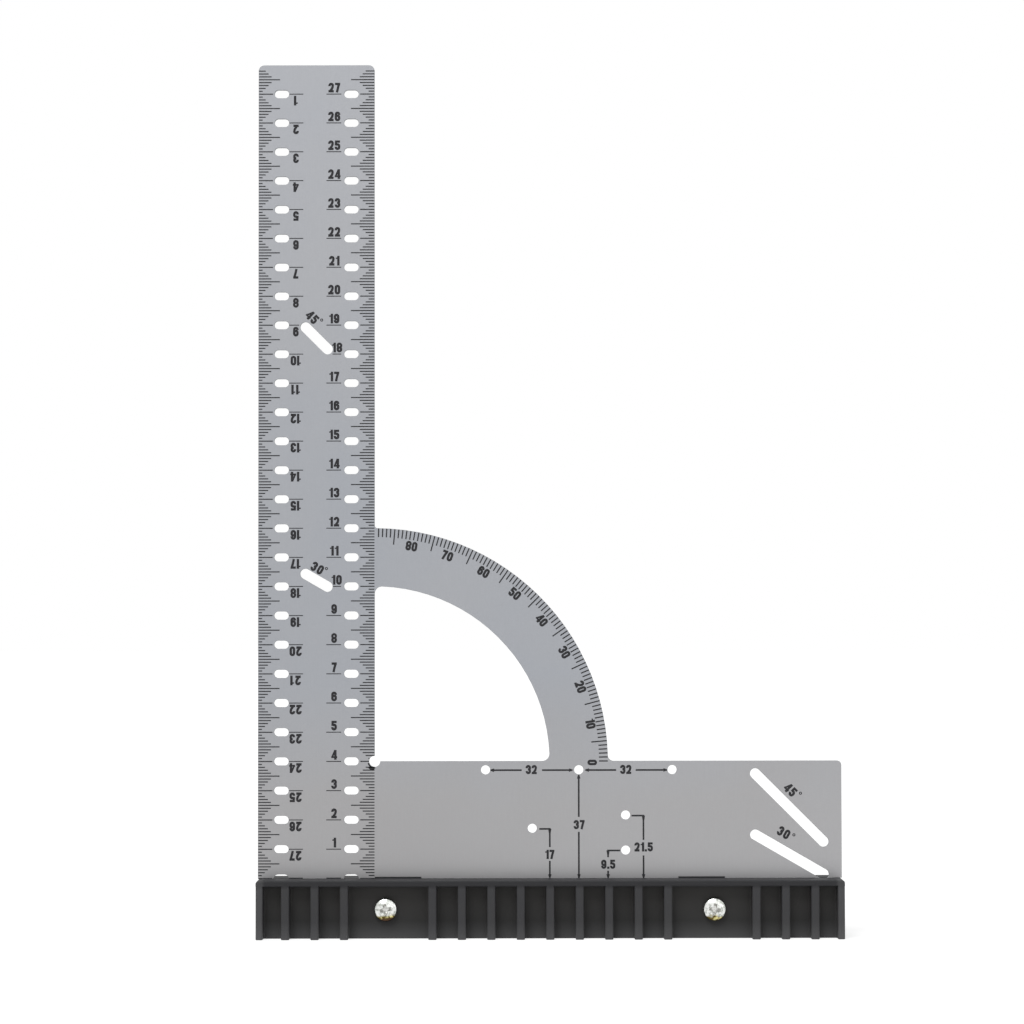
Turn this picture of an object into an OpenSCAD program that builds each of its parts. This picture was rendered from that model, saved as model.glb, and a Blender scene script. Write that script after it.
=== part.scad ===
// Carpenter square with a T-shaped fence, millimetres.
// It stands on the foot of its fence: X runs along the fence, Z up along the arm, and the scale
// faces -Y. The origin is the middle of the foot, and the blade lies in the plane Y = 0.

/* [Overall] */
// Width of the square, along the fence
square_w = 200; // [186:1:300]
// Reach of the arm above the fence's working face
arm_reach = 280; // [230:1:400]
// Width of the arm
arm_w = 40; // [36:1:60]
// Height of the base of the blade above the working face
base_h = 40; // [38:1:60]

/* [Blade] */
// Thickness of the sheet
blade_t = 1.2; // [0.8:0.1:2]
// Radius of the two corners at the top of the arm
arm_corner_r = 2; // [0.5:0.1:4]
// Radius of the base's upper right corner
base_corner_r = 1.5; // [0.5:0.1:4]
// How far the blade's tongue goes down into the fence
tongue_h = 17; // [15.5:0.1:17]

/* [Protractor] */
// Outer radius of the quarter ring, measured from the inner corner of the square
ring_r = 80; // [70:1:90]
// Width of the ring
ring_w = 20; // [14:1:24]
// Radius where the ring's outer edge meets the arm
ring_arm_r = 1; // [0.5:0.1:2]
// Radius where the ring's outer edge meets the base
ring_base_r = 2; // [0.5:0.1:3]
// Radius in the two far corners of the window
window_r = 2.5; // [1:0.1:5]
// Diameter of the relief hole in the inner corner
relief_d = 3.8; // [3:0.1:6]

/* [Scale holes] */
// Distance from one hole to the next
scale_pitch = 10; // [8:1:20]
// Length of a hole
scale_hole_l = 5; // [4:0.1:6]
// Height of a hole
scale_hole_h = 2.8; // [2:0.1:3.6]
// From the arm's edge to the middle of a hole
scale_inset = 8; // [6:0.1:9]

/* [Pencil slots] */
// Width of every slot
slot_w = 3.6; // [2.4:0.1:4]
// Between the end centres of the steep slot in the arm
arm_steep_l = 10.7; // [6:0.1:12]
// Height of its middle above the working face
arm_steep_z = 185.5; // [150:0.1:200]
// Between the end centres of the shallow slot in the arm
arm_shallow_l = 8.7; // [5:0.1:10]
// Height of its middle above the working face
arm_shallow_z = 102.1; // [90:0.1:140]
// Between the end centres of the steep slot in the base
base_steep_l = 33; // [20:0.1:34]
// Between the end centres of the shallow slot in the base
base_shallow_l = 27; // [20:0.1:28]
// Gap from the base's right edge to the lower end centres of both slots
base_slot_inset = 6.2; // [5.8:0.1:9]
// Height of the steep slot's lower end centre above the working face
base_steep_z = 12.3; // [11.5:0.1:13]
// Height of the shallow slot's lower end centre above the working face
base_shallow_z = 1.2; // [1:0.1:1.6]

/* [Marking holes] */
// Diameter of every marking hole
mark_d = 3.2; // [2:0.1:4]
// Distance between neighbours in the top row
mark_pitch = 32; // [28:0.5:34]
// Height of the top row above the working face
mark_row_z = 37; // [34:0.5:37]
// Height of the hole left of the middle one
mark_left_z = 17; // [14:0.5:24]
// Height of the upper hole right of the middle one
mark_upper_z = 21.5; // [17:0.5:26]
// Height of the lower hole right of the middle one
mark_lower_z = 9.5; // [6:0.5:11]

/* [Fence] */
// Height of the fence
fence_h = 20; // [20:1:30]
// Depth of the whole fence, front to back
fence_depth = 20; // [18:1:30]
// Thickness of the flange that carries the working face
flange_t = 2; // [1.6:0.1:3]
// From the middle of the blade to the outside of each web
web_depth = 5.5; // [5:0.1:6]
// Thickness of a rib
rib_w = 2.8; // [1.6:0.1:4]
// Distance from one rib to the next
rib_pitch = 10; // [8:0.5:20]
// Thickness of the two end walls
end_wall = 2.4; // [1.6:0.1:4]
// Radius of the fence's upper corners, seen from the front
fence_corner_r = 1; // [0.5:0.1:1.5]
// Radius along the free edges of the flange and ribs
edge_r = 0.5; // [0.2:0.1:0.7]
// Radius in the roots of the flange and ribs
root_r = 0.6; // [0.2:0.1:1]

/* [Keys and screws] */
// Distance of each screw from the middle of the fence
screw_x = 56; // [50:0.5:62]
// Height of the screws
screw_z = 10; // [9.5:0.1:10.5]
// Thread diameter
screw_d = 4; // [3:0.5:4]
// Diameter of the pan head
head_d = 8; // [6:0.1:9]
// Height of the pan head
head_h = 3; // [2.2:0.1:3.4]
// Width of the cross recess in the head
recess_w = 4.4; // [3:0.1:5]
// Thickness of each arm of the cross
recess_arm = 1.1; // [0.7:0.1:1.4]
// Depth of the cross
recess_depth = 1.6; // [1:0.1:2]
// Bare web left between a screw's head and the nearest rib
screw_bay = 5; // [3:0.5:7]
// Nut, across its flats
nut_af = 7; // [5.5:0.5:7.5]
// Thickness of the nut
nut_h = 3.2; // [2.4:0.1:3.6]
// Depth of the nut pocket in the rear web
nut_sink = 2.4; // [1:0.1:2.6]
// Width of the window for a key, in the blade's tongue
key_window_w = 16; // [13:0.5:18]
// Height of that window
key_window_h = 14; // [13.5:0.1:14.5]
// How far the window rises above the working face
key_window_over = 0.5; // [0.2:0.1:0.8]
// Outside diameter of the spigot on a key
spigot_d = 6.4; // [5.6:0.1:6.6]
// How far the spigot reaches into the rear half
spigot_h = 1; // [0.6:0.1:1.2]

/* [Clearances] */
// Round the blade's tongue in its seat
seat_gap = 0.2; // [0.1:0.05:0.3]
// Round a key in its window
key_gap = 0.15; // [0.05:0.05:0.25]
// Round a screw in its hole, on the radius
screw_gap = 0.15; // [0.1:0.05:0.25]
// Round a nut in its pocket
nut_gap = 0.1; // [0.05:0.05:0.2]
// Round a spigot and past its end
spigot_gap = 0.1; // [0.05:0.05:0.2]

/* [Hidden] */
$fn = 64;
// Overlap that joins two shapes and carries a cut past a surface
lap = 0.5;
STEEP = 45;
SHALLOW = 30;
// A rib nearer to a screw than this is left out
screw_clear = head_d / 2 + rib_w / 2 + screw_bay;
// Key's edge beyond the screw's centre, towards the end of the fence
key_margin = key_window_w / 4;
// Screw thread past the nut
thread_end = 0.3;

half_w = square_w / 2;
face_z = fence_h;
top_z = face_z + arm_reach;
base_z = face_z + base_h;
pivot_x = arm_w - half_w;
arm_mid_x = pivot_x - arm_w / 2;
mark_x = pivot_x + ring_r - ring_w / 2;
scale_rows = floor((arm_reach - scale_hole_l) / scale_pitch);
half_depth = fence_depth / 2;
half_t = blade_t / 2;
nut_seat = web_depth - nut_sink;
screw_l = web_depth + nut_seat + nut_h + thread_end;
window_x = screw_x + key_margin - key_window_w / 2;
window_top = face_z + key_window_over;

// Outlines are drawn with X to the right and Z up. This stands one up between two depths,
// counted from the middle of the blade to the back.
module stand(from, to) {
    translate([0, to, 0])
        rotate([90, 0, 0])
            linear_extrude(to - from)
                children();
}

// What lies between a square corner and the circle that rounds it. Cut away, it rounds an
// outer corner at the origin; added, it fillets an inner one.
module corner(r) {
    difference() {
        translate([-lap, -lap])
            square(r + lap);
        translate([r, r])
            circle(r);
    }
}

// Places a corner at a point, turned so that its sides run towards sx and sz.
module corner_at(x, z, sx, sz, r) {
    translate([x, z])
        scale([sx, sz])
            corner(r);
}

// The fillet between a circle of radius R about the origin and the line X = 0. The fillet lies
// outside the circle where side is 1, and inside it where side is -1.
module ring_corner(R, r, side) {
    reach = R + side * r;
    cz = sqrt(reach * reach - r * r);
    arc = R - side * lap;
    difference() {
        polygon([[-lap, cz], [-lap, arc], [arc * r / reach, arc * cz / reach], [r, cz]]);
        translate([r, cz])
            circle(r);
    }
}

// The same fillet at the foot of the ring, against the line Z = 0.
module ring_foot(R, r, side) {
    mirror([1, -1])
        ring_corner(R, r, side);
}

// A slot with round ends, between end centres a given length apart, falling to the right.
module slot(length, width, fall) {
    rotate(-fall) {
        square([length, width], center = true);
        for (end = [-1, 1])
            translate([end * length / 2, 0])
                circle(width / 2);
    }
}

// The same slot, placed by its lower end centre.
module slot_up_from(x, z, length, fall) {
    translate([x - length / 2 * cos(fall), z + length / 2 * sin(fall)])
        slot(length, slot_w, fall);
}

module plate_outline() {
    difference() {
        translate([-half_w, face_z])
            square([arm_w, arm_reach]);
        corner_at(-half_w, top_z, 1, -1, arm_corner_r);
        corner_at(pivot_x, top_z, -1, -1, arm_corner_r);
    }
    difference() {
        translate([-half_w, face_z])
            square([square_w, base_h]);
        corner_at(half_w, base_z, -1, -1, base_corner_r);
    }
    translate([end_wall + seat_gap - half_w, face_z - tongue_h])
        square([square_w - 2 * (end_wall + seat_gap), tongue_h + lap]);
}

// The quarter disc that the ring is the rim of, filleted against the arm and the base.
module quarter_outline() {
    translate([pivot_x, base_z]) {
        intersection() {
            circle(ring_r);
            translate([-lap, -lap])
                square(ring_r + lap);
        }
        ring_corner(ring_r, ring_arm_r, 1);
        ring_foot(ring_r, ring_base_r, 1);
    }
}

// The window within the ring, with its far corners rounded and a relief hole at the near one.
module window_outline() {
    translate([pivot_x, base_z]) {
        difference() {
            intersection() {
                circle(ring_r - ring_w);
                square(ring_r);
            }
            ring_corner(ring_r - ring_w, window_r, -1);
            ring_foot(ring_r - ring_w, window_r, -1);
        }
        circle(d = relief_d);
    }
}

module scale_holes() {
    for (row = [0 : scale_rows], side = [-1, 1])
        translate([arm_mid_x + side * (arm_w / 2 - scale_inset), face_z + row * scale_pitch])
            slot(scale_hole_l - scale_hole_h, scale_hole_h, 0);
}

module pencil_slots() {
    translate([arm_mid_x, face_z + arm_steep_z])
        slot(arm_steep_l, slot_w, STEEP);
    translate([arm_mid_x, face_z + arm_shallow_z])
        slot(arm_shallow_l, slot_w, SHALLOW);
    slot_up_from(half_w - base_slot_inset, face_z + base_steep_z, base_steep_l, STEEP);
    slot_up_from(half_w - base_slot_inset, face_z + base_shallow_z, base_shallow_l, SHALLOW);
}

module marking_holes() {
    for (step = [-1 : 1])
        translate([mark_x + step * mark_pitch, face_z + mark_row_z])
            circle(d = mark_d);
    translate([mark_x - mark_pitch / 2, face_z + mark_left_z])
        circle(d = mark_d);
    for (z = [mark_upper_z, mark_lower_z])
        translate([mark_x + mark_pitch / 2, face_z + z])
            circle(d = mark_d);
}

// The window for a key, or the key itself where gap is taken off all round.
module key_outline(gap) {
    for (side = [-1, 1])
        translate([side * window_x, window_top - key_window_h / 2])
            square([key_window_w - 2 * gap, key_window_h - 2 * gap], center = true);
}

module blade() {
    color([0.67, 0.68, 0.7])
        stand(-half_t, half_t)
            difference() {
                union() {
                    plate_outline();
                    quarter_outline();
                }
                window_outline();
                scale_holes();
                pencil_slots();
                marking_holes();
                key_outline(0);
            }
}

// Front view of a half of the fence.
module fence_outline() {
    difference() {
        translate([-half_w, 0])
            square([square_w, fence_h]);
        corner_at(-half_w, fence_h, 1, -1, fence_corner_r);
        corner_at(half_w, fence_h, -1, -1, fence_corner_r);
    }
}

// Section across a half: the web, and the flange that stands out from its top.
module fence_section() {
    square([web_depth, fence_h]);
    difference() {
        translate([0, fence_h - flange_t])
            square([half_depth, flange_t]);
        corner_at(half_depth, fence_h, -1, -1, edge_r);
        corner_at(half_depth, fence_h - flange_t, -1, 1, edge_r);
    }
    corner_at(web_depth, fence_h - flange_t, 1, -1, root_r);
}

// Plan of a rib or an end wall: square in the web, round at the free edge, filleted at its root.
module rib_plan(width) {
    difference() {
        translate([-width / 2, 0])
            square([width, half_depth]);
        for (side = [-1, 1])
            corner_at(side * width / 2, half_depth, -side, -1, edge_r);
    }
    for (side = [-1, 1])
        corner_at(side * width / 2, web_depth, side, 1, root_r);
}

function clear_of_screws(x) = min(abs(x - screw_x), abs(x + screw_x)) > screw_clear;

module ribs() {
    inner = half_w - end_wall - rib_w;
    last = floor(inner / rib_pitch);
    for (n = [-last : last])
        if (clear_of_screws(n * rib_pitch))
            translate([n * rib_pitch, 0, 0])
                linear_extrude(fence_h - flange_t / 2)
                    rib_plan(rib_w);
    for (side = [-1, 1])
        translate([side * (half_w - end_wall / 2), 0, 0])
            linear_extrude(fence_h - flange_t / 2)
                rib_plan(end_wall);
}

// A half of the fence behind the blade, before its screw holes. Its rim closes against the
// other half, the tongue lies in the seat within the rim, and the blade's shoulders pass over it.
module fence_half() {
    difference() {
        intersection() {
            stand(0, half_depth)
                fence_outline();
            union() {
                translate([-half_w, 0, 0])
                    rotate([90, 0, 90])
                        linear_extrude(square_w)
                            fence_section();
                ribs();
            }
        }
        stand(-lap, half_t) {
            translate([end_wall - half_w, face_z - tongue_h - seat_gap])
                square([square_w - 2 * end_wall, tongue_h + seat_gap + lap]);
            translate([-half_w - lap, face_z - seat_gap])
                square([square_w + 2 * lap, seat_gap + lap]);
        }
    }
}

// A round bar on each screw's axis, between two depths.
module on_screws(from, to, d) {
    for (side = [-1, 1])
        translate([side * screw_x, from, screw_z])
            rotate([-90, 0, 0])
                cylinder(d = d, h = to - from);
}

module front_fence() {
    color([0.2, 0.2, 0.2])
        difference() {
            union() {
                mirror([0, 1, 0])
                    fence_half();
                stand(-half_t, half_t)
                    key_outline(key_gap);
                on_screws(-half_t, half_t + spigot_h, spigot_d);
            }
            on_screws(-half_depth, half_depth, screw_d + 2 * screw_gap);
        }
}

module hexagon(af, h) {
    cylinder(d = af / cos(30), h = h, $fn = 6);
}

module rear_fence() {
    color([0.22, 0.22, 0.22])
        difference() {
            fence_half();
            on_screws(-lap, half_depth, screw_d + 2 * screw_gap);
            on_screws(-lap, half_t + spigot_h + spigot_gap, spigot_d + 2 * spigot_gap);
            for (side = [-1, 1])
                translate([side * screw_x, nut_seat, screw_z])
                    rotate([-90, 0, 0])
                        hexagon(nut_af + 2 * nut_gap, nut_sink + lap);
        }
}

// Half the section of the pan head: a low dome over a short upright edge.
module head_section() {
    edge_h = head_h / 4;
    rise = head_h - edge_h;
    dome_r = (head_d * head_d / 4 + rise * rise) / (2 * rise);
    square([head_d / 2, edge_h]);
    intersection() {
        square([head_d / 2, head_h]);
        translate([0, head_h - dome_r])
            circle(dome_r);
    }
}

// A screw whose head faces the front, with its axis on the origin and its head's seat at Y = 0.
module screw() {
    color([0.82, 0.82, 0.78])
        difference() {
            union() {
                rotate([90, 0, 0])
                    rotate_extrude()
                        head_section();
                rotate([-90, 0, 0])
                    cylinder(d = screw_d, h = screw_l);
            }
            for (turn = [0, 90])
                translate([0, recess_depth / 2 - head_h, 0])
                    rotate([0, turn, 0])
                        cube([recess_w, recess_depth + lap, recess_arm], center = true);
        }
}

module screw_at(side) {
    translate([side * screw_x, -web_depth, screw_z])
        screw();
}

// The nut's bore holds the thread with no gap.
module nut_at(side) {
    color([0.78, 0.78, 0.75])
        translate([side * screw_x, nut_seat, screw_z])
            rotate([-90, 0, 0])
                difference() {
                    hexagon(nut_af, nut_h);
                    translate([0, 0, -lap])
                        cylinder(d = screw_d, h = nut_h + 2 * lap);
                }
}

blade();
front_fence();
rear_fence();
screw_at(-1);  // screw_left
screw_at(1);  // screw_right
nut_at(-1);  // nut_left
nut_at(1);  // nut_right
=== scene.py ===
from functools import lru_cache
from math import asin, cos, hypot, pi, radians, sin

import bmesh
import bpy
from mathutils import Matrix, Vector
from mathutils.geometry import delaunay_2d_cdt


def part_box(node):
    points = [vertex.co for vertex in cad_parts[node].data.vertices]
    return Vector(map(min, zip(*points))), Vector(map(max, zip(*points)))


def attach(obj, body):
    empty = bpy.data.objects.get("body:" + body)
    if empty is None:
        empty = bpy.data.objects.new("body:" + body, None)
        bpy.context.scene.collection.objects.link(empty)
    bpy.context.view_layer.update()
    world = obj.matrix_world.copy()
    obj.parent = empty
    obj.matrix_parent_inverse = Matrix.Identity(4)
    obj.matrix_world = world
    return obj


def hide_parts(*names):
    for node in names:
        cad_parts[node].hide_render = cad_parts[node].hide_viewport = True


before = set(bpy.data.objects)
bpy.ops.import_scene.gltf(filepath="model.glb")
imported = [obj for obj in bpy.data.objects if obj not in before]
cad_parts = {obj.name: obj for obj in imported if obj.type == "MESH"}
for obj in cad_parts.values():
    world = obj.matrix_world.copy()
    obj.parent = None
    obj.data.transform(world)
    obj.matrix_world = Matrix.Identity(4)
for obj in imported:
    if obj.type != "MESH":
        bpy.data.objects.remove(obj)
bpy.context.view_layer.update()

# Millimetres are used for every size and place below; this turns them into Blender's metres
MM = 0.001

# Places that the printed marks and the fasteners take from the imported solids, in millimetres
BLADE_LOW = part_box("blade")[0] / MM
ARM_LEFT = BLADE_LOW.x
PRINT_Y = BLADE_LOW.y
FACE_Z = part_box("rear_fence")[1].z / MM

# Driving sizes of the blade, as in the solids
ARM_W = 40
BASE_H = 40
RING_R = 80
ARM_RIGHT = ARM_LEFT + ARM_W
PIVOT = Vector((ARM_RIGHT, FACE_Z + BASE_H))
RELIEF_R = 1.9

# The layer of ink: it starts just inside the sheet and stands this proud of it
INK_SUNK = 0.02
INK_PROUD = 0.03
# Bare margin between an edge of the sheet and the print
INK_MARGIN = 0.06


# Colours

def srgb(hex_colour):
    """A colour written as sRGB hex, as the linear colour that Blender's sockets take."""
    values = [int(hex_colour[i:i + 2], 16) / 255 for i in (1, 3, 5)]
    return [v / 12.92 if v <= 0.04045 else ((v + 0.055) / 1.055) ** 2.4 for v in values] + [1]


# Nodes

def add_node(tree, kind, inputs=(), **settings):
    """Adds a node, sets its properties, and sets or links its inputs by name or number. A node
    that is given as an input stands for its first output."""
    node = tree.nodes.new(kind)
    for name, value in settings.items():
        setattr(node, name, value)
    for socket, value in dict(inputs).items():
        if isinstance(value, bpy.types.Node):
            value = value.outputs[0]
        if isinstance(value, bpy.types.NodeSocket):
            tree.links.new(value, node.inputs[socket])
        else:
            node.inputs[socket].default_value = value
    return node


def new_material(name):
    """An empty node material: its tree, and a socket with places on the object in metres."""
    material = bpy.data.materials.new(name)
    material.use_nodes = True
    tree = material.node_tree
    tree.nodes.clear()
    place = add_node(tree, "ShaderNodeTexCoord").outputs["Object"]
    return material, tree, place


def mottling(tree, place, size, detail=2, stretch=(1, 1, 1)):
    """A soft pattern from 0 to 1 with features of this size in millimetres, drawn out along an
    axis where its stretch is small."""
    stretched = add_node(tree, "ShaderNodeMapping", {"Vector": place, "Scale": stretch})
    inputs = {"Vector": stretched, "Scale": 1 / (size * MM), "Detail": detail}
    return add_node(tree, "ShaderNodeTexNoise", inputs)


def uneven_height(tree, place, pattern, drift):
    """Height above the foot, moved by a pattern by up to this many millimetres."""
    up = add_node(tree, "ShaderNodeSeparateXYZ", {0: place}).outputs["Z"]
    return add_node(tree, "ShaderNodeMath", {0: pattern, 1: drift * MM, 2: up}, operation="MULTIPLY_ADD")


def in_metres(span):
    """The two ends of a span that is written in millimetres."""
    return span[0] * MM, span[1] * MM


def graded(tree, value, span, first, second, shares=(0, 1)):
    """A colour that turns from the first into the second while a value crosses a span. Each is
    hex or a socket, and the shares say how much of the second there is at the span's ends."""
    share = add_node(tree, "ShaderNodeMapRange", {
        "Value": value,
        "From Min": span[0],
        "From Max": span[1],
        "To Min": shares[0],
        "To Max": shares[1],
    })
    colours = [srgb(colour) if isinstance(colour, str) else colour for colour in (first, second)]
    inputs = {0: share, 6: colours[0], 7: colours[1]}
    return add_node(tree, "ShaderNodeMix", inputs, data_type="RGBA").outputs[2]


def finish_material(tree, inputs, gloss=None, relief=None):
    """Puts a Principled shader with these inputs on the surface. An uneven gloss is a pattern, a
    span of it, and the roughness at the span's two ends. A relief is a pattern, its full height
    in millimetres, and how strongly it shows."""
    if gloss:
        pattern, span, roughness = gloss
        inputs["Roughness"] = add_node(tree, "ShaderNodeMapRange", {
            "Value": pattern,
            "From Min": span[0],
            "From Max": span[1],
            "To Min": roughness[0],
            "To Max": roughness[1],
        })
    if relief:
        pattern, depth, strength = relief
        inputs["Normal"] = add_node(tree, "ShaderNodeBump", {
            "Height": pattern,
            "Distance": depth * MM,
            "Strength": strength,
        })
    shader = add_node(tree, "ShaderNodeBsdfPrincipled", inputs)
    add_node(tree, "ShaderNodeOutputMaterial", {"Surface": shader})


# Materials

# Where the sheet turns cooler, and where it turns palest, in millimetres up the square
COOLER = (75, 115)
PALEST = (190, 300)
# How far the clouding moves these bounds
DRIFT = 60


def satin_anodised_sheet():
    """Rolled aluminium sheet, etched and clear anodised: an even grey with a soft sheen. The
    base is a neutral grey, the ring and the arm are cooler, and the arm's end is palest, all
    with soft bounds and a faint clouding some 55 mm across. Over that come a rolling grain
    along the arm, 0.3 mm wide, and a fine etched tooth. The real tooth is near 0.05 mm and is
    drawn at 0.4 mm, so that it shows."""
    material, tree, place = new_material("satin_anodised_aluminium")
    clouds = mottling(tree, place, 55)
    grain = mottling(tree, place, 0.3, stretch=(1, 1, 0.04))
    tooth = mottling(tree, place, 0.4)
    height = uneven_height(tree, place, clouds, DRIFT)
    cool = graded(tree, height, in_metres(COOLER), "#A2A1A2", "#9FA2A8")
    pale = graded(tree, height, in_metres(PALEST), cool, "#A4A6AB")
    tone = graded(tree, clouds, (0.35, 0.65), pale, "#A7A7A9", shares=(0, 0.4))
    streaks = graded(tree, grain, (0.35, 0.65), tone, "#8E9093", shares=(0, 0.08))
    speckle = graded(tree, tooth, (0.4, 0.7), streaks, "#B9BBBD", shares=(0, 0.1))
    finish_material(tree, {
        "Base Color": speckle,
        "Metallic": 1.0,
    }, gloss=(tooth, (0.3, 0.7), (0.42, 0.5)), relief=(tooth, 0.006, 0.5))
    return material


def sheared_edge():
    """The punched and sheared rim of the same sheet: darker and rougher than its faces, with
    drag lines through the sheet's thickness some 0.25 mm apart."""
    material, tree, place = new_material("sheared_aluminium_edge")
    drag = mottling(tree, place, 0.25, stretch=(1, 0.08, 1))
    finish_material(tree, {
        "Base Color": graded(tree, drag, (0.35, 0.65), "#77797C", "#8E9093"),
        "Metallic": 1.0,
        "Roughness": 0.5,
    }, relief=(drag, 0.02, 0.6))
    return material


# Where the moulding's tone and its painted shade change, in millimetres up from the foot
PALER_FOOT = (0, 6)
POCKET_SHADE_RISE = (4, 15)
FLANGE_SHADE_RISE = (17, 18)
# The same, out from the blade and along from the middle
POCKET_SHADE_OUT = (6, 9.5)
PALER_END = (97, 98)


def black_moulded_plastic():
    """Black glass filled nylon from a spark eroded mould: near black with a fine even grain
    that spreads the light. The real grain is near 0.1 mm and is drawn at 0.35 mm. A slow
    flow pattern some 12 mm long varies the gloss a little. The pockets between the ribs are
    painted darker as painted shade, darkest at their feet, and from its root up the flange is
    painted darker as painted shade too. The lowest 6 mm and the two ends are paler."""
    material, tree, place = new_material("black_moulded_nylon")
    grain = mottling(tree, place, 0.35)
    flow = mottling(tree, place, 12, stretch=(0.4, 1, 1))
    along, across, up = add_node(tree, "ShaderNodeSeparateXYZ", {0: place}).outputs
    out = add_node(tree, "ShaderNodeMath", {0: across}, operation="ABSOLUTE")
    end = add_node(tree, "ShaderNodeMath", {0: along}, operation="ABSOLUTE")
    skin = graded(tree, flow, (0.3, 0.7), "#333335", "#363637")
    # Painted shade: the pockets between the ribs are darker, darkest at their feet, and all above the
    # flange's root is darker too
    pocket_shade = graded(tree, up, in_metres(POCKET_SHADE_RISE), "#242424", "#302F2E")
    deep = graded(tree, out, in_metres(POCKET_SHADE_OUT), skin, pocket_shade, shares=(1, 0))
    flange = graded(tree, up, in_metres(FLANGE_SHADE_RISE), deep, "#28282A")
    # Paler towards the foot, and below towards both ends
    foot = graded(tree, up, in_metres(PALER_FOOT), flange, "#555556", shares=(0.45, 0))
    finish_material(tree, {
        "Base Color": graded(tree, end, in_metres(PALER_END), foot, "#555556", shares=(0, 0.35)),
        "Specular IOR Level": 0.18,
    }, gloss=(flow, (0.3, 0.7), (0.56, 0.64)), relief=(grain, 0.02, 0.5))
    return material


# Heights in millimetres where the painted shade at the foot stops being brown, and where the stain and
# painted shade of the lower rim end
SHADED_BROWN_FOOT = (4.6, 5.2)
STAIN_AND_SHADE_RIM = (5.5, 6.4)
# How far the patches move these bounds
STAIN_AND_SHADE_DRIFT = -4


def bright_zinc_plate():
    """Bright zinc plate with a clear passivation: a hard silver shine with dull grey spots from
    handling, some 1 mm across. The lower rims turn straw yellow in patches some 3 mm across, with
    olive spots some 1.2 mm across and brown at the very foot. The straw yellow is partly a real
    passivation tint. The olive spots and the brown foot are painted shade, for the dark reflection
    of the fence below the head."""
    material, tree, place = new_material("bright_zinc_plate")
    patches = mottling(tree, place, 2.8)
    spots = mottling(tree, place, 1.0, detail=3)
    olive = mottling(tree, place, 1.2, detail=1)
    height = uneven_height(tree, place, patches, STAIN_AND_SHADE_DRIFT)
    silver = graded(tree, spots, (0.45, 0.65), "#EAEBE8", "#A9ADA6")
    # The lower rim: partly a straw passivation tint, partly painted shade where the head reflects the dark
    # fence below
    stain_and_shade = graded(tree, olive, (0.38, 0.52), "#DDD496", "#5E5122")
    stained_and_shaded = graded(tree, height, in_metres(STAIN_AND_SHADE_RIM), silver, stain_and_shade, shares=(1, 0))
    finish_material(tree, {
        "Base Color": graded(tree, height, in_metres(SHADED_BROWN_FOOT), stained_and_shaded, "#4F3A2A", shares=(1, 0)),
        "Metallic": 1.0,
    }, gloss=(spots, (0.4, 0.7), (0.16, 0.3)), relief=(spots, 0.01, 0.4))
    return material


def dull_recess():
    """The cross recess: a dull grey that is painted shade for the recess's depth, mottled by the
    punch some 0.4 mm across."""
    material, tree, place = new_material("recess_painted_shade")
    mottle = mottling(tree, place, 0.4)
    finish_material(tree, {
        "Base Color": graded(tree, mottle, (0.35, 0.65), "#C2C2C0", "#ECECE8"),
        "Metallic": 1.0,
        "Roughness": 0.42,
    })
    return material


def black_screen_print():
    """Black screen ink, baked on: a dense matt black with a little unevenness in its cover,
    some 0.8 mm across."""
    material, tree, place = new_material("black_screen_print")
    cover = mottling(tree, place, 0.8)
    finish_material(tree, {
        "Base Color": graded(tree, cover, (0.35, 0.7), "#18181A", "#262629"),
        "Roughness": 0.6,
        "Specular IOR Level": 0.3,
    })
    return material


def rays_of(tree, *kinds):
    """1 where the ray is of one of these kinds, and otherwise 0."""
    path = add_node(tree, "ShaderNodeLightPath")
    found = path.outputs[kinds[0]]
    for kind in kinds[1:]:
        found = add_node(tree, "ShaderNodeMath", {0: found, 1: path.outputs[kind]}, operation="MAXIMUM")
    return found


# How much of the floor's look is its own glow, and how strong that is
GLOW_SHARE = 0.7
GLOW = 1.08


def white_floor():
    """A sheet of white studio card. It glows a little towards the camera, so that it joins
    the white background, and still keeps the soft shadow of what stands on it."""
    material, tree, _ = new_material("white_card_floor")
    seen = rays_of(tree, "Is Camera Ray", "Is Glossy Ray")
    share = add_node(tree, "ShaderNodeMath", {0: seen, 1: GLOW_SHARE}, operation="MULTIPLY")
    card = add_node(tree, "ShaderNodeBsdfDiffuse", {"Color": srgb("#FAFAFA")})
    glow = add_node(tree, "ShaderNodeEmission", {"Strength": GLOW})
    both = add_node(tree, "ShaderNodeMixShader", {0: share, 1: card, 2: glow})
    add_node(tree, "ShaderNodeOutputMaterial", {"Surface": both})
    return material


SHEET = satin_anodised_sheet()
SHEARED = sheared_edge()
PLASTIC = black_moulded_plastic()
ZINC = bright_zinc_plate()
RECESS_SHADE = dull_recess()
INK = black_screen_print()


# Pieces

# A face at least this wide, in millimetres, is a broad flat one
BROAD_FACE = 1.2
# Angles between two faces, in degrees: at most this where they look like one, and at least
# this where they make a corner
NEARLY_FLAT = 2
CORNER = 40
# Points of the solids' loose triangles that are closer than this are the same point
SAME_POINT = 0.002
# How far a point may lie from a plane that it counts as on
NEAR = 0.01


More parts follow.
